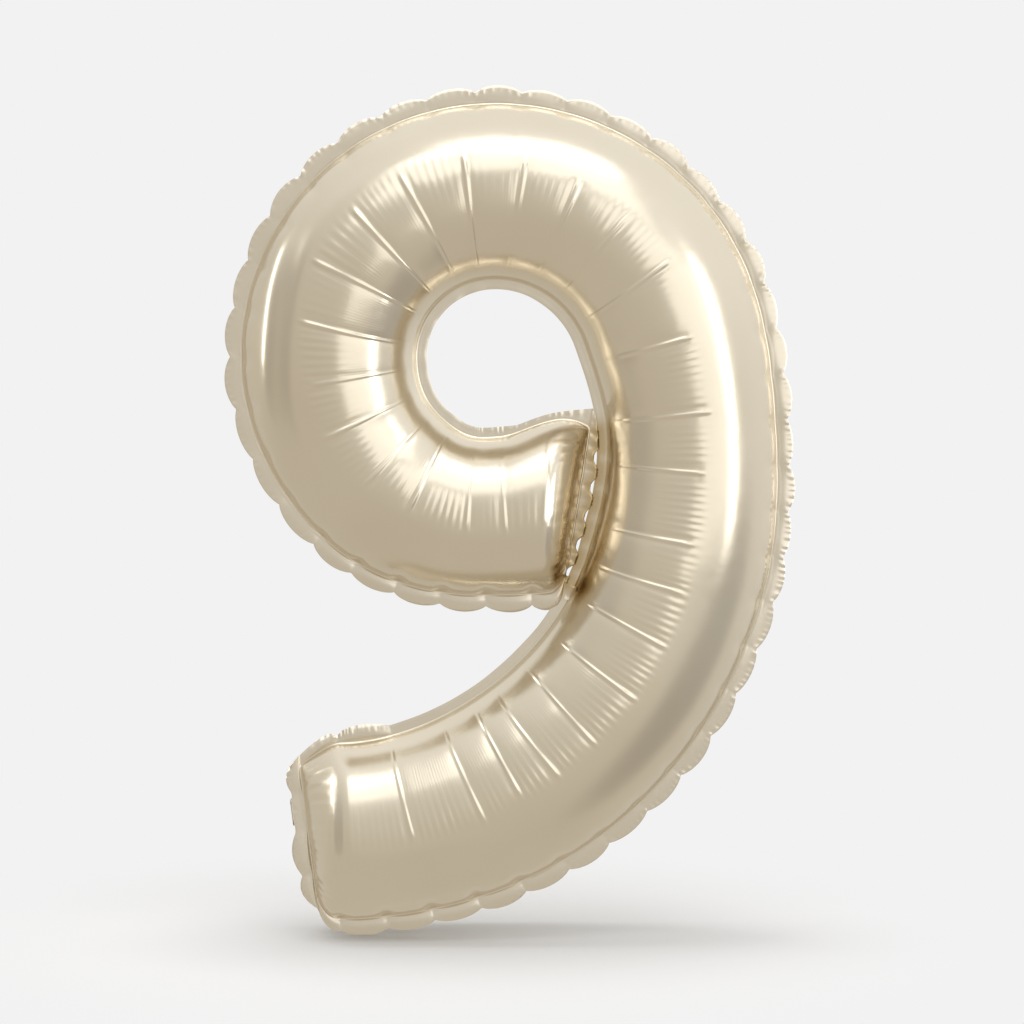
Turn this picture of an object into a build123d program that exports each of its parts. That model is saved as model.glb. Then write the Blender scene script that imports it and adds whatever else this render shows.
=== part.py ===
from build123d import *
from math import cos, pi, radians, sin, sqrt
import os

# Foil number balloon, digit 9, inflated.  Millimetres, +Z up, front of the digit facing -Y.
# The two foil panels meet in the XZ plane; the origin is under the middle of the figure.

# the figure, as one strip: (radius of the strip's centre line, turn in degrees, seam-to-seam width)
# from the free end of the bowl, round the ring, over the top and down the stem to the foot
strip = [
    (605, 9, 160), (150, 45, 171), (168, 46, 177), (168, 86, 177), (187, 75, 180),
    (440, 15, 171), (440, 20, 183), (365, 37, 190), (365, 36, 181), (900, 2, 173),
]
strip_start = (0.0, 0.0)  # middle of the seam across the free end of the bowl; settled by stand_up()
start_heading = 190      # which way the strip leaves that seam, degrees from +X
start_skew = 19          # how far that seam is turned from square across the strip, degrees
foot_skew = -8           # the same at the foot
start_width = 166        # its width there

film = 0.5               # thickness given to the foil
depth_ratio = 0.42       # half depth of the inflated tube over its width
fill_power = 0.75        # how fast the tube fills out from an end seam; lower is faster
seam_depth = 1.8         # the tube's half depth right at an end seam
end_length = 88          # distance from an end seam over which the tube fills out
end_corner = 24          # distance over which the end seam's corners are rounded
end_narrow = 0.16        # how much narrower the tube is right at an end seam
margin_in = 11.0         # heat-sealed border on the inner side of the strip
margin_out = 12.0        # the same on the outer side, up to the notches between the scallops
margin_end = 13.0        # border past an end seam
scallop_pitch = 48
scallop_rise = 6.5
foot_notches = (0.84, 0.46, 0.0, -0.42, -0.8)  # across the foot's end, as shares of half its width
foot_round = 30          # how far the end of the foot falls back towards its corners
slit_count = 4           # openings in the tacked line between the bowl and the stem
slit_length = 20
slit_width = 2.6
slit_spread = 0.9        # share of the bowl's end that the slits are spread over

valve_film = 0.3         # thickness given to the thin valve film
valve_length = 84
valve_width = 34
valve_gap = 0.4          # space between the two valve films
valve_set_in = 3         # how far inside the foot's seam the valve starts
valve_flare = (0.2, 0.4)  # where the neck widens into the lips, as shares of the valve's length
tail_length = 62
tail_width = 28
tail_fold = 100          # how far the tail is folded back behind the foot, degrees
tail_clear = 1.2         # free play at the fold
tail_lift = 20.5         # the tail's middle above the middle of the foot's end seam
tail_root = 0.3          # from the fold to where the plies start
tail_corner = 4
neck_width = 18
neck_root = 0.5          # from the fold to where the neck films start
neck_share = 0.7         # the neck films' length as a share of the tail's
ribbon_hole_radius = 2.5
ribbon_hole_inset = 9    # from the tail's end
fill_hole_radius = 4.0
fill_hole_share = 0.45   # its place along the tail


# ---- the strip's centre line

def along(spot, radius, turn):
    """Move along an arc that bends clockwise as seen from the front."""
    x, z, heading, width = spot
    a = radians(heading)
    b = radians(heading - turn)
    x += radius * (sin(a) - sin(b))
    z -= radius * (cos(a) - cos(b))
    return x, z, heading - turn, width


def arc_starts():
    spots = [(strip_start[0], strip_start[1], start_heading, start_width)]
    for radius, turn, width in strip:
        x, z, heading, old_width = along(spots[-1], radius, turn)
        spots.append((x, z, heading, width))
    return spots


def place(arc, part_way):
    """X, Z, heading and tube width part of the way along one arc, with the width eased.

    The heading is square to the tube's cross-section, so it leans over with a skewed end seam.
    """
    spots = arc_starts()
    radius, turn, next_width = strip[arc]
    x, z, heading, width = along(spots[arc], radius, turn * part_way)
    ease = part_way * part_way * (3 - 2 * part_way)
    if arc == 0:
        heading -= start_skew * (1 - part_way) ** 2
    if arc == len(strip) - 1:
        heading -= foot_skew * part_way ** 2
    return x, z, heading, width + (next_width - width) * ease


def onward(spot, distance):
    x, z, heading, width = spot
    a = radians(heading)
    return x + cos(a) * distance, z + sin(a) * distance, heading, width


def beside(spot, distance):
    """A point beside the centre line; positive distances lie on the outer side."""
    x, z, heading, width = spot
    a = radians(heading)
    return x - sin(a) * distance, z + cos(a) * distance


def arc_length(arc):
    return radians(strip[arc][1]) * strip[arc][0]


def scallop_count(arc):
    radius, turn, width = strip[arc]
    return max(1, round(radians(turn) * (radius + width / 2 + margin_out) / scallop_pitch))


# ---- flat border of a panel

def scallop(a, b):
    """An arc from one notch to the next, bulging to the left of the way it runs."""
    run = sqrt((b[0] - a[0]) ** 2 + (b[1] - a[1]) ** 2)
    middle = (
        (a[0] + b[0]) / 2 - (b[1] - a[1]) / run * scallop_rise,
        (a[1] + b[1]) / 2 + (b[0] - a[0]) / run * scallop_rise,
    )
    ThreePointArc(a, middle, b)


def scallops(points):
    for a, b in zip(points[:-1], points[1:]):
        scallop(a, b)


def stretch_spots(arcs):
    """Spots along some arcs, one for each notch between the scallops of the outer side."""
    spots = []
    for arc in arcs:
        for i in range(scallop_count(arc)):
            spots.append(place(arc, i / scallop_count(arc)))
    spots.append(place(arcs[-1], 1))
    return spots


def foot_points(spot):
    """Notches across the end of the foot, from the outer corner round to the inner one."""
    points = []
    for side in foot_notches:
        half = spot[3] / 2 + (margin_out if side > 0 else margin_in)
        forward = margin_end - foot_round * side ** 4
        points.append(beside(onward(spot, forward), side * half))
    return points


def flat_stretch(arcs, at_foot):
    """The flat outline of one stretch of the strip, borders included."""
    spots = stretch_spots(arcs)
    if at_foot:
        end = spots.pop()
    else:
        spots[0] = onward(spots[0], -margin_end)
    outer = [beside(s, s[3] / 2 + margin_out) for s in spots]
    inner = [beside(s, -s[3] / 2 - margin_in) for s in reversed(spots)]
    with BuildSketch(Plane.XZ) as stretch:
        with BuildLine():
            scallops(outer)
            if at_foot:
                notches = foot_points(end)
                scallops([outer[-1], *notches[:3]])
                Line(notches[2], notches[3])
                scallops([*notches[3:], inner[0], inner[2]])
                inner = inner[2:]
            else:
                Line(outer[-1], inner[0])
            Spline(*inner)
            Line(inner[-1], outer[0])
        make_face()
    return stretch.sketch


def slit_places():
    """Middles of the see-through gaps where the bowl's end is tacked to the stem."""
    seam = onward(place(0, 0), -margin_end)
    pitch = start_width * slit_spread / slit_count
    return [beside(seam, (i - (slit_count - 1) / 2) * pitch) for i in range(slit_count)]


def stand_up():
    """Where the strip starts so that the figure stands on the ground, centred over the origin."""
    ring = flat_stretch(range(0, 4), False).bounding_box()
    stem = flat_stretch(range(4, len(strip)), True).bounding_box()
    left = min(ring.min.X, stem.min.X)
    right = max(ring.max.X, stem.max.X)
    return strip_start[0] - (left + right) / 2, strip_start[1] - min(ring.min.Z, stem.min.Z)


strip_start = stand_up()


# ---- inflated tube

def half_depth(width, distance):
    """Half the tube's depth, at a distance from the nearer end seam."""
    fill = min(1, distance / end_length)
    return max(seam_depth, depth_ratio * width * sin(pi / 2 * fill) ** fill_power)


def half_width(width, distance):
    short = max(0, 1 - distance / end_corner)
    return width / 2 * (1 - end_narrow * short ** 2)


def tube_section(station, total):
    """Spot on the centre line at a distance along it, and its distance from the nearer end."""
    rest = station
    arc = 0
    while arc < len(strip) - 1 and rest > arc_length(arc):
        rest -= arc_length(arc)
        arc += 1
    return place(arc, min(1, rest / arc_length(arc))), min(station, total - station)


def tube_spans(start):
    """The tube's cross-sections in spans: the two ends closely ruled, the middle smooth."""
    total = sum(arc_length(arc) for arc in range(len(strip)))
    near_end = [end_length * (i / 9) ** 1.6 for i in range(10)]
    near_end[0] = start
    middle = total - 2 * end_length
    regular = [end_length + middle * i / 24 for i in range(25)]
    far_end = [total - d for d in reversed(near_end)]
    spans = [(near_end, True), (regular[0:9], False), (regular[8:17], False),
             (regular[16:25], False), (far_end, True)]
    return [([tube_section(d, total) for d in span], ruled) for span, ruled in spans]


def section_plane(spot):
    x, z, heading, width = spot
    a = radians(heading)
    return Plane(origin=(x, 0, z), x_dir=(-sin(a), 0, cos(a)), z_dir=(cos(a), 0, sin(a)))


def tube(inset, below, start):
    """Lofts of D-shaped sections: the half tube in front of the seam plane."""
    with BuildPart() as half_tube:
        for sections, ruled in tube_spans(start):
            with BuildPart(mode=Mode.PRIVATE) as span:
                for spot, distance in sections:
                    across = half_width(spot[3], distance) - inset
                    deep = half_depth(spot[3], distance) - film / 2 - inset
                    with BuildSketch(section_plane(spot)):
                        with BuildLine():
                            EllipticalCenterArc((0, film / 2), across, deep,
                                                start_angle=0, arc_size=180)
                            Polyline((-across, film / 2), (-across, -below),
                                     (across, -below), (across, film / 2))
                        make_face()
                loft(ruled=ruled)
            add(span.part)
    return half_tube.part


# ---- the filling tail and its valve

def foot_end():
    spot = place(len(strip) - 1, 1)
    x, z = beside(spot, -tail_lift)
    return x, z, spot[2], spot[3]


def tail_plane():
    """Local X runs out along the folded tail, local Z from its back ply to its front ply."""
    x, z, heading, width = onward(foot_end(), margin_end + tail_clear)
    a = radians(heading)
    fold = radians(tail_fold)
    out = (cos(a) * cos(fold), sin(fold), sin(a) * cos(fold))
    face = (cos(a) * sin(fold), -cos(fold), sin(a) * sin(fold))
    return Plane(origin=(x, 0, z), x_dir=out, z_dir=face)


def valve_plane(side):
    """Local X runs from the seam into the tube; side is -1 in front and 1 behind."""
    x, z, heading, width = onward(foot_end(), -valve_set_in)
    a = radians(heading)
    return Plane(origin=(x, side * valve_gap / 2, z), x_dir=(-cos(a), 0, -sin(a)), z_dir=(0, side, 0))


# ---- the foil panels

with BuildPart() as front_panel:
    with BuildSketch(Plane.XZ):
        add(flat_stretch(range(0, 4), False))
        add(flat_stretch(range(4, len(strip)), True))
        turned = place(0, 0)[2] + 90
        with Locations(*[Location((x, z), turned) for x, z in slit_places()]):
            SlotOverall(slit_length, slit_width, mode=Mode.SUBTRACT)
    extrude(amount=film)
    add(tube(0, 2, 0))
    split(bisect_by=Plane.XZ, keep=Keep.TOP)
    add(tube(film, 4, film), mode=Mode.SUBTRACT)

with BuildPart() as back_panel:
    add(mirror(front_panel.part, about=Plane.XZ))

with BuildPart() as tail_front_ply:
    with BuildSketch(tail_plane().offset(valve_film)):
        with Locations((tail_root + tail_length / 2, 0)):
            RectangleRounded(tail_length, tail_width, tail_corner)
        with Locations((tail_root + tail_length - ribbon_hole_inset, 0)):
            Circle(ribbon_hole_radius, mode=Mode.SUBTRACT)
        with Locations((tail_root + tail_length * fill_hole_share, 0)):
            Circle(fill_hole_radius, mode=Mode.SUBTRACT)
    extrude(amount=film)

with BuildPart() as tail_back_ply:
    with BuildSketch(tail_plane().offset(-valve_film)):
        with Locations((tail_root + tail_length / 2, 0)):
            RectangleRounded(tail_length, tail_width, tail_corner)
        with Locations((tail_root + tail_length - ribbon_hole_inset, 0)):
            Circle(ribbon_hole_radius, mode=Mode.SUBTRACT)
    extrude(amount=-film)

with BuildPart() as neck_film_front:
    with BuildSketch(tail_plane()):
        with Locations((neck_root + tail_length * neck_share / 2, 0)):
            Rectangle(tail_length * neck_share, neck_width)
        with Locations((tail_root + tail_length * fill_hole_share, 0)):
            Circle(fill_hole_radius, mode=Mode.SUBTRACT)
    extrude(amount=valve_film)

with BuildPart() as neck_film_back:
    with BuildSketch(tail_plane()):
        with Locations((neck_root + tail_length * neck_share / 2, 0)):
            Rectangle(tail_length * neck_share, neck_width)
    extrude(amount=-valve_film)


def valve_outline():
    """A narrow neck that widens into the flat lips of the valve."""
    narrow, wide = (valve_length * share for share in valve_flare)
    with BuildSketch() as lips:
        with BuildLine():
            Polyline((0, -neck_width / 2), (narrow, -neck_width / 2),
                     (wide, -valve_width / 2), (valve_length, -valve_width / 2),
                     (valve_length, valve_width / 2), (wide, valve_width / 2),
                     (narrow, neck_width / 2), (0, neck_width / 2), close=True)
        make_face()
    return lips.sketch


with BuildPart() as valve_film_front:
    with BuildSketch(valve_plane(-1)):
        add(valve_outline())
    extrude(amount=valve_film)

with BuildPart() as valve_film_back:
    with BuildSketch(valve_plane(1)):
        add(valve_outline())
    extrude(amount=valve_film)

os.makedirs("parts", exist_ok=True)
front_panel.part.label = "front_panel"
export_step(front_panel.part, "parts/front_panel.step")
back_panel.part.label = "back_panel"
export_step(back_panel.part, "parts/back_panel.step")
tail_front_ply.part.label = "tail_front_ply"
export_step(tail_front_ply.part, "parts/tail_front_ply.step")
tail_back_ply.part.label = "tail_back_ply"
export_step(tail_back_ply.part, "parts/tail_back_ply.step")
neck_film_front.part.label = "neck_film_front"
export_step(neck_film_front.part, "parts/neck_film_front.step")
neck_film_back.part.label = "neck_film_back"
export_step(neck_film_back.part, "parts/neck_film_back.step")
valve_film_front.part.label = "valve_film_front"
export_step(valve_film_front.part, "parts/valve_film_front.step")
valve_film_back.part.label = "valve_film_back"
export_step(valve_film_back.part, "parts/valve_film_back.step")
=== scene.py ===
import math

import bpy
import numpy as np
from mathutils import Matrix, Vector


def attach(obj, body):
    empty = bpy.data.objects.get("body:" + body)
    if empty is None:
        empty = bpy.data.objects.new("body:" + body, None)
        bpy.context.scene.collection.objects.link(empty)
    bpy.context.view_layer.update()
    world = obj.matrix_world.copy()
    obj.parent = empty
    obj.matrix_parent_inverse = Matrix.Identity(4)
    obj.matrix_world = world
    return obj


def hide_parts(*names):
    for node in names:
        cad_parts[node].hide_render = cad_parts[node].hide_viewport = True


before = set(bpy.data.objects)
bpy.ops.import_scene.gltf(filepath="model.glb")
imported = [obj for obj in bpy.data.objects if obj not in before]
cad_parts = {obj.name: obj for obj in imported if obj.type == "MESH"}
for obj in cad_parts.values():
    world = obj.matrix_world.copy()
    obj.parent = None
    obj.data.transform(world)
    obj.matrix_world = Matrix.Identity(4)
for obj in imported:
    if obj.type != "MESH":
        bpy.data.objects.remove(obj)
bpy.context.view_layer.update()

MM = 0.001

# ---------------------------------------------------------------- sizes, in millimetres
# the figure as one strip: (radius of the centre line, turn in degrees, seam-to-seam width)
STRIP = [
    (605, 9, 160), (150, 45, 171), (168, 46, 177), (168, 86, 177), (187, 75, 180),
    (440, 15, 171), (440, 20, 183), (365, 37, 190), (365, 36, 181), (900, 2, 173),
]
STRIP_START = (67.75, 440.64)   # middle of the seam across the bowl's free end
START_HEADING = 190        # degrees, as are the two skews
START_SKEW = 19            # how far the bowl's end seam leans from square to the strip
FOOT_SKEW = -8             # the same at the foot
START_WIDTH = 166
DEPTH_RATIO = 0.42         # half depth of the inflated tube over its width
SECTION_POWER = 0.54       # 0.5 is an ellipse; higher brings the film in flatter at the seams
START_FILL = (36, 0.56)    # distance over which the bowl's free end fills out, and how fast
FOOT_FILL = (50, 0.60)
START_CORNER = (24, 0.16)  # distance over which the seams draw in at the bowl's end, and by what share
FOOT_CORNER = (36, 0.22)   # the same two sizes at the foot, which is rounder
MARGIN_IN = 11.0           # flat border beyond the inner seam
MARGIN_OUT = 12.0
MARGIN_END = 13.0
FILM = 0.35                # height of the border's film above the plane where the panels meet
FILM_EDGE = 0.02           # the same at a free edge
SCALLOP_PITCH = 48
SCALLOP_RISE = 6.5
RISE_RANGE = (0.8, 1.15)   # how much one scallop's rise differs from the next
FOOT_NOTCHES = (-0.8, -0.42, 0.0, 0.46, 0.84)   # across the foot, as shares of half its width
FOOT_ROUND = 30            # how far the foot's end falls back towards its corners
FOOT_NICK = (3.0, 5)       # depth and half width of the nick where the foot's side begins
TAIL_GAP = (-0.42, 0.0)    # the straight stretch of the foot's end where the tail leaves it
SPUR_RISE = 11             # how far the bowl's free end swells towards the counter
SPUR_LENGTH = 78
SPUR_TAKEN = 3             # how much of that swell the border takes up
INNER_SCALLOP = 107.9      # where the inner side's scallops begin, before the foot's seam
STEM_SPAN = (700, 1350)    # the part of the strip that the bowl's end is tacked to
TACK_PITCH = 30
TACK_SHIFT = 8             # moves the ties along the bowl's end
TACK_REACH = 24            # the longest border between the bowl's end and the stem
TACK_OVERLAP = 1.6         # how far it runs on over the stem's border
HOLE_DEPTH = (3.6, 6.2)    # range of depths of the see-through holes between the ties
HOLES = 20                 # depths drawn, more than are used
FIRST_HOLE = 8             # place in that list of the hole beside the centre line

ROW_STEP = 1.25            # spacing of the skin's rows along the strip
IN_COLUMNS = 6
TUBE_COLUMNS = 74
OUT_COLUMNS = 12
END_ROWS = 12

CREASES = [                # where the ridge pleats cross the centre line, along the strip
    36, 74, 112, 172, 220, 272, 326, 380, 432, 484, 535, 586, 638, 690, 742, 796,
    868, 944, 1002, 1075, 1122, 1180, 1238, 1296, 1345, 1385, 1430, 1500,
]
RING_TOP = 560             # the strip's highest place, where the pleats reach farthest out
REACH = (0.12, 0.38, 230)  # the pleats' least reach across the tube, its gain at the top, over what length
RIDGE = (1.7, 1.2, 0.9)    # a pleat's height, its half width, and how much wider it is in full
VALLEY = (0.75, 7.5)       # depth and half width of the valley that it stands in
PILLOW = 0.9               # swell of the film between two pleats
COMB = (7.4, 0.20)         # pitch and height of the fine wrinkles along the inner side
HAIR = (3.1, 0.05)         # the same for the finest ones
PINCH = (1.5, 1.6)         # depth of the pinch at a notch, and how much deeper it is at the low ends
SWELL = (110, 0.9)         # pitch and height of the long soft swells on the outer side
DRIFT = 1.1                # height of the slanting waves low on the stem
FOLD = 0.8                 # height of the folds that follow the ring
PUCKER = (34, 1.5)         # reach and height of the puckers at the end seams
PUFF_IN = 2.2              # how far the border's lobes are puffed: by the foot, on the inner side
PUFF_OUT = 2.6             # the same on the outer side
PUFF_FOOT = 2.4            # and across the foot's end
CRINKLE = 0.55             # bends that both panels' borders share: fine crinkles
CUP = 1.4                  # each lobe's cupping
SAG = 1.2                  # slow waves of the outer border
LOOSE = 1.1                # gathers of the inner border near the ends
RELIEF_ROOM = 9            # relief fades out where the film is lower than this above its seam

LENGTH = sum(math.radians(turn) * radius for radius, turn, width in STRIP)
FOOT_ARC = math.radians(STRIP[-1][1]) * STRIP[-1][0]
T_IN = np.linspace(0, 1, IN_COLUMNS, endpoint=False)[None, :]    # free edge to inner seam
T_OUT = np.linspace(0, 1, OUT_COLUMNS + 1)[None, 1:]             # outer seam to free edge


# ---------------------------------------------------------------- small curves

def smooth(t):
    """0 up to 0, 1 from 1 on, and a soft rise between them."""
    t = np.clip(t, 0, 1)
    return t * t * (3 - 2 * t)


def hump(part):
    """0 at both notches of a scallop and 1 half way between them."""
    return np.clip(1 - (2 * part - 1) ** 2, 0, 1)


def wander(values, period, seed):
    """A smooth random line between -1 and 1 that changes over about one period."""
    rng = np.random.default_rng(seed)
    knots = rng.uniform(-1, 1, 4000)
    t = values / period + 1000
    i = np.floor(t).astype(int)
    return knots[i] + (knots[i + 1] - knots[i]) * smooth(t - i)


def uneven_wave(values, pitch, unevenness, period, seed):
    """A wave along values whose crests stand at uneven distances."""
    return np.sin(2 * np.pi * (values / pitch + unevenness * wander(values, period, seed)))


# ---------------------------------------------------------------- the strip

def along(x, z, heading, radius, turn):
    a, b = math.radians(heading), np.radians(heading - turn)
    return x + radius * (math.sin(a) - np.sin(b)), z - radius * (math.cos(a) - np.cos(b))


def centre_line(stations):
    """X, Z, section heading (radians), width and outer scallop phase at each station."""
    x, z = STRIP_START
    heading, width, start = START_HEADING, START_WIDTH, 0.0
    out = np.zeros((5, len(stations)))
    scallops = 0
    for i, (radius, turn, next_width) in enumerate(STRIP):
        length = math.radians(turn) * radius
        last = i == len(STRIP) - 1
        inside = (stations >= start - 1e-9) & ((stations < start + length) | last)
        part = np.clip((stations[inside] - start) / length, 0, 1)
        count = max(1, round(math.radians(turn) * (radius + next_width / 2 + MARGIN_OUT) / SCALLOP_PITCH))
        px, pz = along(x, z, heading, radius, turn * part)
        tilt = heading - turn * part
        if i == 0:
            tilt = tilt - START_SKEW * (1 - part) ** 2
        if last:
            tilt = tilt - FOOT_SKEW * part ** 2
        out[:, inside] = (px, pz, np.radians(tilt), width + (next_width - width) * smooth(part),
                          scallops + part * count)
        x, z = along(x, z, heading, radius, turn)
        heading, width, start = heading - turn, next_width, start + length
        scallops += count
    return out


def half_depth(width, s):
    """The tube's half depth; it fills out quickly from each end seam, as a pillow does."""
    near = np.sin(np.pi / 2 * np.clip(s / START_FILL[0], 0, 1)) ** START_FILL[1]
    far = np.sin(np.pi / 2 * np.clip((LENGTH - s) / FOOT_FILL[0], 0, 1)) ** FOOT_FILL[1]
    return DEPTH_RATIO * width * np.minimum(near, far)


def half_width(width, s):
    """Centre line to seam; the seams draw in at both ends."""
    at_start = np.clip(1 - s / START_CORNER[0], 0, 1)
    at_foot = np.clip(1 - (LENGTH - s) / FOOT_CORNER[0], 0, 1)
    return width / 2 * (1 - START_CORNER[1] * at_start ** 2 - FOOT_CORNER[1] * at_foot ** 2)


class Rows:
    """Measures of the strip at each row of a skin."""

    def __init__(self):
        self.s = np.linspace(0, LENGTH, int(LENGTH / ROW_STEP))
        self.to_foot = LENGTH - self.s
        self.x, self.z, self.heading, self.width, self.phase = centre_line(self.s)
        self.deep = half_depth(self.width, self.s)
        self.scallop = hump(self.phase % 1)
        self.corner = np.clip(1 - self.to_foot / FOOT_ARC, 0, 1)
        self.spur = SPUR_RISE * smooth((SPUR_LENGTH - self.s) / (SPUR_LENGTH * 0.7))
        self.seam_out = half_width(self.width, self.s)
        self.seam_in = self.seam_out + self.spur


def low_ends(s):
    """1 at the bowl's free end and low on the stem, 0 between them."""
    return np.maximum(smooth((260 - s) / 120), smooth((s - 1330) / 160))


def inner_humps(rows):
    """The inner side's two scallops by the foot: the one on its corner and the one before it."""
    on_corner = np.where(rows.corner > 0, hump(rows.corner), 0)
    before = np.clip((INNER_SCALLOP - rows.to_foot) / (INNER_SCALLOP - FOOT_ARC), 0, 1)
    return on_corner, hump(before)


def outer_edge(rows, rng):
    """Centre line to the scalloped free edge, on the outer side."""
    rises = SCALLOP_RISE * rng.uniform(*RISE_RANGE, 80)
    edge = rows.width / 2 + MARGIN_OUT + rises[np.floor(rows.phase).astype(int)] * rows.scallop ** 0.8
    return edge - (1 - FOOT_NOTCHES[-1]) * rows.corner * (rows.width / 2 + MARGIN_OUT)


def inner_edge(rows):
    """The same on the inner side, which is plain but for two scallops by the foot."""
    edge = rows.width / 2 + MARGIN_IN + 0.4 * wander(rows.s, 40, 9)
    edge = edge + np.maximum(rows.spur - SPUR_TAKEN, 0)
    edge = edge - (1 + FOOT_NOTCHES[0]) * rows.corner * (rows.width / 2 + MARGIN_IN)
    on_corner, before = inner_humps(rows)
    edge += SCALLOP_RISE * on_corner
    edge -= FOOT_NICK[0] * np.exp(-((rows.to_foot - FOOT_ARC) / FOOT_NICK[1]) ** 2)
    edge += SCALLOP_RISE * before
    return edge


# ---------------------------------------------------------------- relief of the inflated film
# across runs from -1 at the inner seam over 0 on the centre line to 1 at the outer seam

def one_pleat(s, across, place, end, lean, tall):
    """A ridge in a shallow valley, from the inner seam out to end."""
    gap = s - place - lean * across
    to_seam = across + 0.93
    body = smooth((end - across) / 0.07) * smooth(to_seam / 0.2)
    fade = 0.35 + 0.65 * smooth(to_seam / 1.1)
    ridge = np.exp(-(gap / (RIDGE[1] + RIDGE[2] * fade)) ** 2)
    valley = np.exp(-(gap / VALLEY[1]) ** 2)
    return body * fade * tall * (RIDGE[0] * ridge - VALLEY[0] * valley)


def pleat_relief(s, across, seed):
    """Outward displacement, mm: ridge pleats and fine wrinkles on the inner half of the tube."""
    rng = np.random.default_rng(seed)
    reach = REACH[0] + REACH[1] * np.exp(-((s - RING_TOP) / REACH[2]) ** 2)
    relief = np.zeros(np.broadcast(s, across).shape)
    places = np.array(CREASES, float) + rng.uniform(-2, 2, len(CREASES))
    for place in places:
        lean = rng.uniform(-5, 5)
        tall = rng.uniform(0.8, 1.2)
        end = np.interp(place, s[:, 0], reach[:, 0]) + rng.uniform(-0.07, 0.07)
        relief += one_pleat(s, across, place, end, lean, tall)
    between = np.interp(s[:, 0], places, np.arange(len(places)), left=0, right=len(places) - 1)
    pillow = np.sin(np.pi * (between % 1)) ** 0.8
    inner = smooth((reach - across) / 0.5) * smooth((across + 1.0) / 0.25)
    relief += PILLOW * (pillow[:, None] - 0.6) * inner
    fine = uneven_wave(s, COMB[0], 0.35, 26, seed + 1)
    strength = 0.55 + 0.45 * wander(s, 17, seed + 2)
    comb = smooth((reach + 0.05 - across) / 0.10) * smooth((across - reach + 0.62) / 0.5)
    relief += COMB[1] * fine * strength * comb
    hair = uneven_wave(s, HAIR[0], 0.3, 9, seed + 3)
    relief += HAIR[1] * hair * smooth((reach - across) / 0.3) * smooth((across + 0.9) / 0.3)
    return relief


def outer_relief(s, across, phase, seed):
    """Outward displacement, mm: pinches at the notches and long soft swells on the outer half."""
    near = smooth((across - 0.80) / 0.2)
    notch = np.abs(np.cos(np.pi * phase)) ** 6
    relief = -(PINCH[0] + PINCH[1] * low_ends(s)) * near * notch
    swell = wander(s, SWELL[0], seed + 4) * smooth((across + 0.1) / 0.5) * smooth((1 - across) / 0.2)
    relief += SWELL[1] * swell
    low = smooth((s - 1380) / 120)
    drift = np.sin(2 * np.pi * (across * 2.1 + s / 260 + 0.2 * wander(s, 70, seed + 5)))
    relief += DRIFT * low * drift * smooth((across - 0.05) / 0.3) * smooth((1 - across) / 0.15)
    ring = smooth((s - 120) / 120) * smooth((620 - s) / 150)
    fold = np.sin(2 * np.pi * (across * 2.6 + 0.5 * wander(s, 120, seed + 6)))
    relief += FOLD * ring * fold * smooth((across - 0.35) / 0.2) * smooth((1 - across) / 0.1)
    return relief


def end_relief(s, across, seed):
    """Outward displacement, mm: short puckers that run in from the two end seams."""
    relief = 0
    for distance, offset in ((s, 0), (LENGTH - s, 7)):
        close = smooth((PUCKER[0] - distance) / 30) * smooth(distance / 6)
        ripple = np.sin(2 * np.pi * (across * 11 + 0.5 * wander(across * 10, 1.3, seed + offset)))
        relief = relief + PUCKER[1] * close * ripple * smooth((0.92 - np.abs(across)) / 0.2)
    return relief


# ---------------------------------------------------------------- one panel's skin
# offset is measured across the strip, outwards from its centre line; height away from the seams' plane

def tube_film(rows, seed):
    """Offset and height of the inflated film, from the inner seam over the tube to the outer one."""
    s, deep, half = rows.s[:, None], rows.deep[:, None], rows.seam_out[:, None]
    angle = np.linspace(np.pi, 0, TUBE_COLUMNS)
    across = np.cos(angle)[None, :]
    rise = np.maximum(1 - across ** 2, 0) ** SECTION_POWER
    offset = np.where(across < 0, rows.seam_in[:, None], half) * across
    height = deep * rise
    relief = (pleat_relief(s, across, seed) + outer_relief(s, across, rows.phase[:, None], seed)
              + end_relief(s, across, seed))
    relief = relief * smooth(height / RELIEF_ROOM)
    out, up = across * deep, np.sin(angle)[None, :] * half     # the way the film faces
    norm = np.sqrt(out ** 2 + up ** 2) + 1e-9
    return offset + relief * out / norm, np.maximum(height + relief * up / norm, 0)


def inner_border(rows):
    """Offset and height of the flat border, from its free edge to the inner seam."""
    offset = -inner_edge(rows)[:, None] * (1 - T_IN) - rows.seam_in[:, None] * T_IN
    height = FILM + 0.2 * smooth((T_IN - 0.55) / 0.25) * smooth((1.0 - T_IN) / 0.15)
    on_corner, before = inner_humps(rows)
    height = height + PUFF_IN * np.maximum(before, on_corner)[:, None] * np.sin(np.pi * T_IN) ** 0.8
    height[:, 0] = FILM_EDGE
    return offset, height


def outer_border(rows, rng):
    """Offset and height of the scalloped border, whose lobes are a little puffed."""
    offset = rows.seam_out[:, None] * (1 - T_OUT) + outer_edge(rows, rng)[:, None] * T_OUT
    height = FILM + 0.25 * smooth(T_OUT / 0.08) * smooth((0.25 - T_OUT) / 0.12)
    lobes = 0.35 + 0.65 * low_ends(rows.s)
    height = height + PUFF_OUT * ((lobes * rows.scallop ** 0.7)[:, None] * np.sin(np.pi * T_OUT) ** 0.8)
    height[:, -1] = FILM_EDGE
    return offset, height


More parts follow.
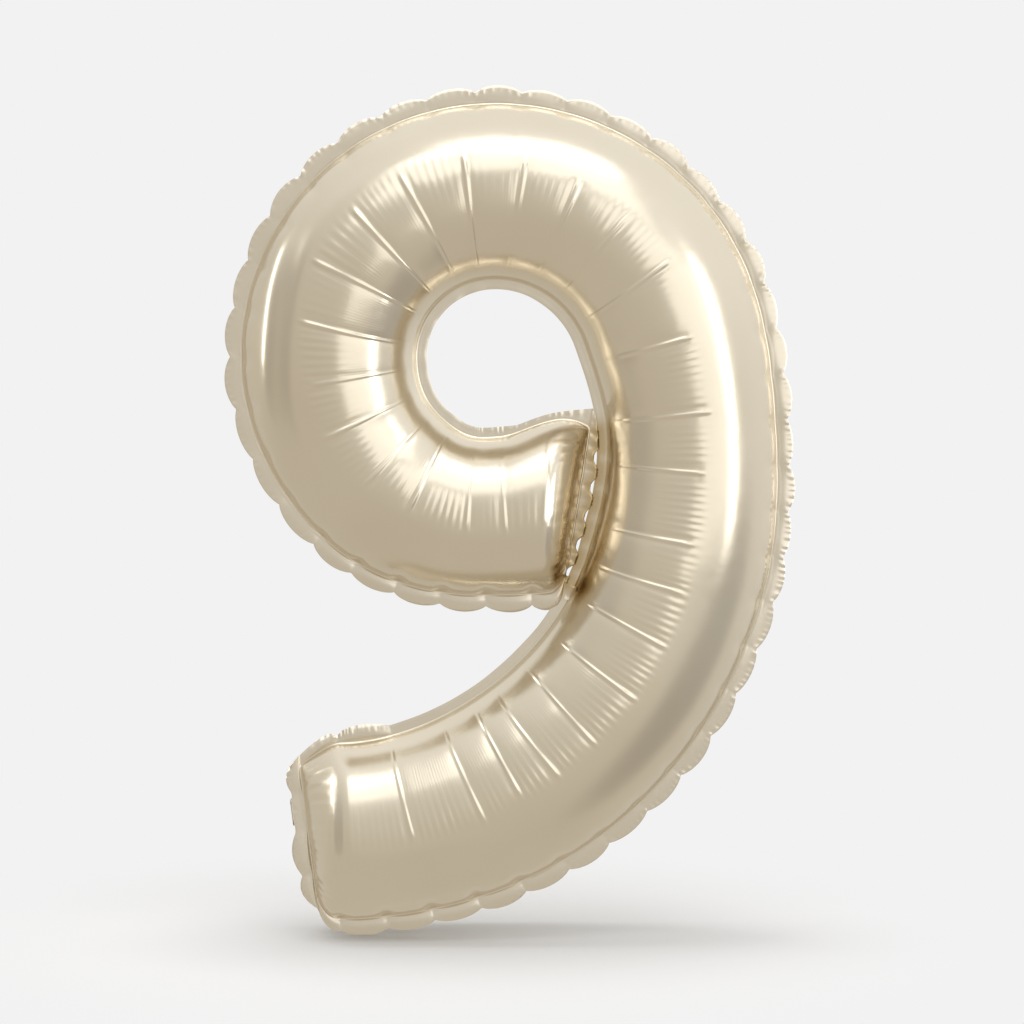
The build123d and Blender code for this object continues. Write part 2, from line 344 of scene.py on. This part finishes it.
def shared_bend(rows):
    """How far both panels' borders bend to and fro together; the same for each, so not mirrored."""
    s = rows.s[:, None]
    bend = np.zeros((len(s), IN_COLUMNS + TUBE_COLUMNS + OUT_COLUMNS))
    crinkle = uneven_wave(s, 5.2, 0.5, 11, 21)
    crinkle = crinkle + 0.6 * uneven_wave(s, 3.1, 0.5, 7, 22)
    strength = 0.6 + 0.4 * wander(s, 30, 23)
    notched = 0.45 + 0.55 * np.abs(np.cos(np.pi * rows.phase[:, None])) ** 2
    bend[:, -OUT_COLUMNS:] = CRINKLE * smooth((T_OUT - 0.55) / 0.3) * crinkle * strength * notched
    cup = (rows.scallop[:, None] - 0.5) * smooth(T_OUT / 0.9)
    bend[:, -OUT_COLUMNS:] += CUP * cup + SAG * wander(s, 60, 24) * smooth(T_OUT)
    gathered = smooth((120 - s) / 60) + 0.8 * smooth((s - LENGTH + 110) / 60)
    bend[:, :IN_COLUMNS] = 0.35 * wander(s, 30, 25) * (1 - T_IN)
    loose = uneven_wave(s, 8.5, 0.9, 10, 26) * (0.5 + 0.5 * wander(s, 19, 27))
    bend[:, :IN_COLUMNS] += LOOSE * gathered * loose * smooth((0.6 - T_IN) / 0.4)
    return bend * smooth(np.minimum(rows.s, rows.to_foot) / 12)[:, None]


def foot_reach(share):
    """How far the border runs on past the foot's seam, mm, across the foot."""
    forward = MARGIN_END - FOOT_ROUND * share ** 4
    for a, b in zip(FOOT_NOTCHES[:-1], FOOT_NOTCHES[1:]):
        inside = (share >= a) & (share <= b)
        if (a, b) != TAIL_GAP:
            forward = forward + SCALLOP_RISE * inside * hump((share - a) / (b - a))
    return np.maximum(forward, 0.5)


def foot_border(x, z, offset, width, heading, side):
    """Rows of X, Y and Z from the foot's seam out to its scalloped free edge."""
    share = offset / (width / 2 + np.where(offset > 0, MARGIN_OUT, MARGIN_IN))
    forward = foot_reach(share)
    edge_x = x + math.cos(heading) * forward
    edge_z = z + math.sin(heading) * forward
    lobe = np.clip((forward - MARGIN_END + FOOT_ROUND * share ** 4) / SCALLOP_RISE, 0, 1)
    wave = uneven_wave(offset, 6.2, 0.4, 9, 31)
    ends = []
    for i in range(1, END_ROWS + 1):
        t = i / END_ROWS
        lift = 0.7 * smooth((t - 0.6) / 0.3) * wave + 1.2 * (lobe - 0.5) * smooth(t)
        lift = lift * (np.abs(share) < 0.76)
        film = FILM if i < END_ROWS else FILM_EDGE
        ridge = 0.5 * smooth(t / 0.1) * smooth((0.3 - t) / 0.15)
        ridge = ridge + PUFF_FOOT * lobe ** 0.7 * np.sin(np.pi * t) ** 0.8
        ends.append((x + (edge_x - x) * t, side * (film + ridge) + lift, z + (edge_z - z) * t))
    return [np.array(rows) for rows in zip(*ends)]


def edge_beyond_start(x, z, heading, stem_edge):
    """How far it is, along the strip's heading reversed, to the stem's inner edge."""
    dx, dz = -math.cos(heading), -math.sin(heading)
    ax, az = stem_edge[:-1, 0] - x, stem_edge[:-1, 1] - z
    bx, bz = stem_edge[1:, 0] - x, stem_edge[1:, 1] - z
    ca = dx * az - dz * ax
    cb = dx * bz - dz * bx
    hit = (ca * cb <= 0) & (np.abs(ca - cb) > 1e-9)
    t = ca[hit] / (ca[hit] - cb[hit])
    along_ray = (ax[hit] + (bx[hit] - ax[hit]) * t) * dx + (az[hit] + (bz[hit] - az[hit]) * t) * dz
    along_ray = along_ray[(along_ray > 0) & (along_ray < 60)]
    return float(along_ray.min()) if len(along_ray) else MARGIN_END


def tack_turn(offset):
    """Counts the ties along the bowl's end: a whole number at each tie."""
    return (offset + TACK_SHIFT) / TACK_PITCH


def start_reach(x, z, offset, width, heading, stem_edge, rng):
    """How far the border runs on past the bowl's end seam, up to the stem, with holes between the ties."""
    depths = rng.uniform(*HOLE_DEPTH, HOLES)
    reach = np.zeros(len(offset))
    for c in range(len(offset)):
        free = edge_beyond_start(x[c], z[c], heading, stem_edge)
        turn = tack_turn(offset[c])
        hole = np.clip(np.sin(np.pi * turn) ** 2 * 1.7 - 0.5, 0, 1) * depths[int(turn + FIRST_HOLE)]
        inside = abs(offset[c]) < width / 2 - 12
        reach[c] = min(free + TACK_OVERLAP, TACK_REACH) - (hole if inside else 0)
        if not inside:
            reach[c] = min(reach[c], MARGIN_END)
    return reach


def start_border(x, z, offset, heading, reach, side):
    """Rows of X, Y and Z from the tacked line back to the bowl's end seam."""
    starts = []
    for i in range(1, END_ROWS + 1):
        t = i / END_ROWS
        film = FILM if i < END_ROWS else FILM_EDGE
        pucker = 0.6 * uneven_wave(offset, 11.0, 0.5, 13, 33)
        pucker = pucker * smooth(t / 0.5) * smooth((1.1 - t) / 0.4)
        starts.append((x - math.cos(heading) * reach * t, side * (film + 0.6) + pucker,
                       z - math.sin(heading) * reach * t))
    return [np.array(rows) for rows in zip(*starts[::-1])]


def tack_shade_weight(X, Z, line_x, line_z, offset, width):
    """How much painted brown reflection and shade each point takes from the tacked line, most of all at a
    tie.
    """
    turn = tack_turn(offset)
    held = np.abs(offset) < width / 2
    tied = held & (np.abs(turn - np.round(turn)) < 0.13)

    def nearness(chosen, spread):
        near = np.full(X.shape, 1e9)
        for px, pz in zip(line_x[chosen], line_z[chosen]):
            near = np.minimum(near, (X - px) ** 2 + (Z - pz) ** 2)
        return np.exp(-near / spread ** 2)

    tack_shade = np.maximum(0.88 * nearness(held, 11.0), nearness(tied, 5.0))
    return np.maximum(tack_shade, nearness(held & ~tied, 2.6))


def build_skin(name, side, seed):
    """side is -1 for the front panel and 1 for the back one."""
    rng = np.random.default_rng(5)
    rows = Rows()
    parts = (inner_border(rows), tube_film(rows, seed), outer_border(rows, rng))
    offset = np.concatenate([part[0] for part in parts], 1)
    height = np.concatenate([parts[0][1], parts[1][1] + FILM, parts[2][1]], 1)
    X = rows.x[:, None] - np.sin(rows.heading)[:, None] * offset
    Z = rows.z[:, None] + np.cos(rows.heading)[:, None] * offset
    Y = side * height + shared_bend(rows)
    is_border = np.zeros(X.shape)
    is_border[:, :IN_COLUMNS] = 1
    is_border[:, -OUT_COLUMNS:] = 1

    foot = foot_border(X[-1], Z[-1], offset[-1], rows.width[-1], rows.heading[-1], side)
    stem = (rows.s > STEM_SPAN[0]) & (rows.s < STEM_SPAN[1])
    stem_edge = np.stack([X[stem, 0], Z[stem, 0]], 1)
    reach = start_reach(X[0], Z[0], offset[0], rows.width[0], rows.heading[0], stem_edge, rng)
    start = start_border(X[0], Z[0], offset[0], rows.heading[0], reach, side)

    X, Y, Z = (np.concatenate([a, b, c]) for a, b, c in zip(start, (X, Y, Z), foot))
    Z = np.maximum(Z, 0.0)
    end = np.ones((END_ROWS, offset.shape[1]))
    is_border = np.concatenate([end, is_border, end])
    # weight of the painted brown reflection and shade along the tacked line
    tack_shade = tack_shade_weight(X, Z, start[0][0], start[2][0], offset[0], rows.width[0])
    return mesh_from_grid(name, np.stack([X, Y, Z], -1) * MM, is_border, tack_shade, side)


def mesh_from_grid(name, points, is_border, tack_shade, side):
    rows, columns = is_border.shape
    index = np.arange(rows * columns).reshape(rows, columns)
    a, b = index[:-1, :-1], index[:-1, 1:]
    c, d = index[1:, 1:], index[1:, :-1]
    quads = np.stack([a, b, c, d] if side < 0 else [a, d, c, b], -1).reshape(-1, 4)
    mesh = bpy.data.meshes.new(name)
    mesh.vertices.add(rows * columns)
    mesh.vertices.foreach_set("co", points.reshape(-1).astype(np.float32))
    mesh.loops.add(quads.size)
    mesh.loops.foreach_set("vertex_index", quads.reshape(-1).astype(np.int32))
    mesh.polygons.add(len(quads))
    mesh.polygons.foreach_set("loop_start", np.arange(0, quads.size, 4, dtype=np.int32))
    mesh.polygons.foreach_set("use_smooth", np.ones(len(quads), bool))
    border_faces = (is_border[:-1, :-1] + is_border[1:, 1:] >= 2).reshape(-1).astype(np.int32)
    mesh.polygons.foreach_set("material_index", border_faces)
    # per-point weight of the painted brown reflection and shade by the tacked line
    attribute = mesh.attributes.new("tack_shade", "FLOAT", "POINT")
    attribute.data.foreach_set("value", tack_shade.reshape(-1).astype(np.float32))
    mesh.update(calc_edges=True)
    mesh.validate()
    obj = bpy.data.objects.new(name, mesh)
    bpy.context.scene.collection.objects.link(obj)
    return obj


# ---------------------------------------------------------------- materials

def new_material(name):
    material = bpy.data.materials.new(name)
    material.use_nodes = True
    nodes = material.node_tree.nodes
    links = material.node_tree.links
    return material, nodes, links, nodes["Principled BSDF"]


def add_noise(nodes, links, scale, detail, place):
    noise = nodes.new("ShaderNodeTexNoise")
    noise.inputs["Scale"].default_value = scale
    noise.inputs["Detail"].default_value = detail
    links.new(place, noise.inputs["Vector"])
    return noise.outputs["Fac"]


def add_range(nodes, links, value, from_range=(0, 1), to_range=(0, 1), soft=False):
    """value carried from one range to another."""
    ramp = nodes.new("ShaderNodeMapRange")
    if soft:
        ramp.interpolation_type = "SMOOTHSTEP"
    ramp.inputs["From Min"].default_value, ramp.inputs["From Max"].default_value = from_range
    ramp.inputs["To Min"].default_value, ramp.inputs["To Max"].default_value = to_range
    links.new(value, ramp.inputs["Value"])
    return ramp.outputs["Result"]


def add_mix(nodes, links, factor, colour):
    """A colour mix towards the given colour; its input A is left for the caller."""
    mix = nodes.new("ShaderNodeMix")
    mix.data_type = "RGBA"
    mix.inputs["B"].default_value = (*colour, 1)
    links.new(factor, mix.inputs["Factor"])
    return mix


def add_roughness(nodes, links, shader, noise, least, most):
    links.new(add_range(nodes, links, noise, to_range=(least, most)), shader.inputs["Roughness"])


def foil_material(name, colour, dark, roughness, metallic, grain):
    """Satin metallised film: slow colour drift, fine grain in the gloss, and painted reflection and shade
    at the tacks: warm brown along the tacked line, near black at each tie.
    """
    material, nodes, links, shader = new_material(name)
    place = nodes.new("ShaderNodeTexCoord").outputs["Object"]
    drift = add_noise(nodes, links, 5.0, 2.0, place)
    base = add_mix(nodes, links, add_range(nodes, links, drift, (0.3, 0.7)), dark)
    base.inputs["A"].default_value = (*colour, 1)
    # painted reflection and shade: warm brown along the tacked line stands in for light bounced between
    # the two borders, near black at the ties for the shade in their gathers
    tack_shade = nodes.new("ShaderNodeAttribute")
    tack_shade.attribute_name = "tack_shade"
    tack_reflection_brown = add_mix(nodes, links, tack_shade.outputs["Fac"], (0.50, 0.37, 0.18))
    links.new(base.outputs["Result"], tack_reflection_brown.inputs["A"])
    at_tie = add_range(nodes, links, tack_shade.outputs["Fac"], (0.90, 0.985))
    tie_shade = add_mix(nodes, links, at_tie, (0.12, 0.075, 0.03))
    links.new(tack_reflection_brown.outputs["Result"], tie_shade.inputs["A"])
    links.new(tie_shade.outputs["Result"], shader.inputs["Base Color"])
    speck = add_noise(nodes, links, 60.0, 2.0, place)
    add_roughness(nodes, links, shader, speck, roughness - 0.04, roughness + 0.04)
    shader.inputs["Metallic"].default_value = metallic
    bump = nodes.new("ShaderNodeBump")
    bump.inputs["Strength"].default_value = grain
    bump.inputs["Distance"].default_value = 0.002
    links.new(add_noise(nodes, links, 38.0, 2.0, place), bump.inputs["Height"])
    links.new(bump.outputs["Normal"], shader.inputs["Normal"])
    return material


def clear_film_material(name):
    """Thin clear film with a slightly cloudy gloss."""
    material, nodes, links, shader = new_material(name)
    place = nodes.new("ShaderNodeTexCoord").outputs["Object"]
    cloud = add_noise(nodes, links, 60.0, 3.0, place)
    add_roughness(nodes, links, shader, cloud, 0.18, 0.34)
    shader.inputs["Base Color"].default_value = (0.86, 0.86, 0.82, 1)
    shader.inputs["IOR"].default_value = 1.5
    shader.inputs["Alpha"].default_value = 0.55
    return material


foil = foil_material("foil", (0.80, 0.74, 0.62), (0.76, 0.69, 0.57), 0.22, 1.0, 0.10)
border = foil_material("foil_border", (0.80, 0.75, 0.65), (0.74, 0.68, 0.57), 0.22, 0.92, 0.12)
film = clear_film_material("valve_film")

front_skin = build_skin("front_skin", -1, 11)
back_skin = build_skin("back_skin", 1, 40)
for skin, node in ((front_skin, "front_panel"), (back_skin, "back_panel")):
    skin.data.materials.append(foil)
    skin.data.materials.append(border)
    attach(skin, "balloon")
    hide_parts(node)

for name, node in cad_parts.items():
    if name.startswith("tail"):
        node.data.materials.clear()
        node.data.materials.append(border)
    if "film" in name:
        node.data.materials.clear()
        node.data.materials.append(film)


# ---------------------------------------------------------------- floor, lights and camera

FLOOR = 12.0                          # half the floor's width, in metres
BACKGROUND = (0.887, 0.887, 0.887)    # the plain colour behind the object
DISTANCE = 4.2                        # camera to aim, in metres
ELEVATION = math.radians(4.0)
SENSOR = 36
VIEW_WIDTH = 1.046                    # what the camera takes in at the aim, in metres
AIM = Vector((0.0015, 0, 0.436))


def floor_material():
    """Pale diffuse paper that fades, far from the object, into the colour of the background."""
    material, nodes, links, shader = new_material("floor")
    shader.inputs["Base Color"].default_value = (0.635, 0.64, 0.655, 1)
    shader.inputs["Roughness"].default_value = 0.9
    glow = nodes.new("ShaderNodeEmission")
    glow.inputs["Color"].default_value = (*BACKGROUND, 1)
    place = nodes.new("ShaderNodeTexCoord")
    shift = nodes.new("ShaderNodeVectorMath")
    shift.operation = "ADD"
    shift.inputs[1].default_value = (0.08, 0.0, 0.0)
    links.new(place.outputs["Object"], shift.inputs[0])
    length = nodes.new("ShaderNodeVectorMath")
    length.operation = "LENGTH"
    links.new(shift.outputs["Vector"], length.inputs[0])
    mix = nodes.new("ShaderNodeMixShader")
    fade = add_range(nodes, links, length.outputs["Value"], (0.22, 0.62), soft=True)
    links.new(fade, mix.inputs["Fac"])
    links.new(shader.outputs["BSDF"], mix.inputs[1])
    links.new(glow.outputs["Emission"], mix.inputs[2])
    links.new(mix.outputs["Shader"], nodes["Material Output"].inputs["Surface"])
    return material


def facing(nodes, links, place, toward):
    """How nearly a direction of the sky points toward the given one."""
    dot = nodes.new("ShaderNodeVectorMath")
    dot.operation = "DOT_PRODUCT"
    dot.inputs[1].default_value = toward
    links.new(place, dot.inputs[0])
    return dot.outputs["Value"]


def sky_tone(nodes, links, place):
    """The room that the foil reflects: brightest above and to the right, warm and dimmer low down."""
    height = nodes.new("ShaderNodeValToRGB")
    lowest, highest = height.color_ramp.elements
    lowest.position, lowest.color = 0.22, (0.63, 0.58, 0.50, 1)
    highest.position, highest.color = 0.85, (1.0, 0.985, 0.95, 1)
    height.color_ramp.elements.new(0.52).color = (0.71, 0.68, 0.62, 1)
    lean = facing(nodes, links, place, (0.40, 0.18, 0.90))
    links.new(add_range(nodes, links, lean, (-1, 1)), height.inputs["Fac"])
    return height.outputs["Color"]


def dark_flag(nodes, links, place, tone, toward, shade):
    """tone with a soft dark patch in one direction."""
    inside = add_range(nodes, links, facing(nodes, links, place, toward), (0.86, 0.97), soft=True)
    darken = add_mix(nodes, links, inside, (shade, shade, shade))
    darken.blend_type = "MULTIPLY"
    links.new(tone, darken.inputs["A"])
    return darken.outputs["Result"]


def studio_world():
    """Light and reflections come from the sky tone; the camera sees the plain background."""
    world = bpy.data.worlds.new("studio")
    world.use_nodes = True
    nodes, links = world.node_tree.nodes, world.node_tree.links
    seen = nodes["Background"]
    seen.inputs["Color"].default_value = (*BACKGROUND, 1)
    lit = nodes.new("ShaderNodeBackground")
    lit.inputs["Strength"].default_value = 1.0
    place = nodes.new("ShaderNodeTexCoord").outputs["Generated"]
    tone = sky_tone(nodes, links, place)
    tone = dark_flag(nodes, links, place, tone, (-0.93, -0.30, 0.05), 0.80)
    tone = dark_flag(nodes, links, place, tone, (0.80, -0.35, -0.48), 0.70)
    links.new(tone, lit.inputs["Color"])
    path = nodes.new("ShaderNodeLightPath")
    choose = nodes.new("ShaderNodeMixShader")
    links.new(path.outputs["Is Camera Ray"], choose.inputs["Fac"])
    links.new(lit.outputs["Background"], choose.inputs[1])
    links.new(seen.outputs["Background"], choose.inputs[2])
    links.new(choose.outputs["Shader"], nodes["World Output"].inputs["Surface"])
    return world


def add_floor():
    mesh = bpy.data.meshes.new("floor")
    mesh.from_pydata([(-FLOOR, -FLOOR, 0), (FLOOR, -FLOOR, 0), (FLOOR, FLOOR, 0), (-FLOOR, FLOOR, 0)],
                     [], [(0, 1, 2, 3)])
    mesh.materials.append(floor_material())
    obj = bpy.data.objects.new("floor", mesh)
    bpy.context.scene.collection.objects.link(obj)
    obj.visible_glossy = False
    return obj


def area_light(name, place, target, width, height, power):
    light = bpy.data.lights.new(name, "AREA")
    light.shape = "RECTANGLE"
    light.size, light.size_y = width, height
    light.energy = power
    obj = bpy.data.objects.new(name, light)
    obj.location = place
    obj.rotation_euler = (Vector(target) - Vector(place)).to_track_quat("-Z", "Y").to_euler()
    obj.visible_camera = False
    bpy.context.scene.collection.objects.link(obj)
    return obj


def add_camera():
    camera = bpy.data.cameras.new("camera")
    camera.sensor_width = SENSOR
    camera.lens = SENSOR * DISTANCE / VIEW_WIDTH
    obj = bpy.data.objects.new("camera", camera)
    obj.location = AIM + Vector((0, -math.cos(ELEVATION), math.sin(ELEVATION))) * DISTANCE
    obj.rotation_euler = (AIM - obj.location).to_track_quat("-Z", "Y").to_euler()
    bpy.context.scene.collection.objects.link(obj)
    return obj


floor = add_floor()

area_light("overhead_wash", (0.1, -1.7, 2.6), (0, 0, 0.5), 2.8, 2.0, 11)
area_light("overhead_strip", (0.2, -1.2, 2.75), (0, 0, 0.5), 2.0, 0.45, 7)
area_light("right_wash", (1.5, -2.9, 0.95), (0, 0, 0.45), 2.2, 2.0, 8)
area_light("right_strip", (2.3, -1.7, 0.9), (0, 0, 0.45), 0.50, 1.9, 8)
area_light("left_strip", (-2.4, 0.1, 1.1), (0, 0, 0.45), 0.35, 1.3, 4)
floor_box = area_light("floor_box", (-0.15, 0.10, 2.9), (0, 0, 0), 0.9, 0.9, 30)
floor_box.visible_glossy = False

bpy.context.scene.world = studio_world()
bpy.context.scene.camera = add_camera()
bpy.context.scene.view_settings.view_transform = "Standard"
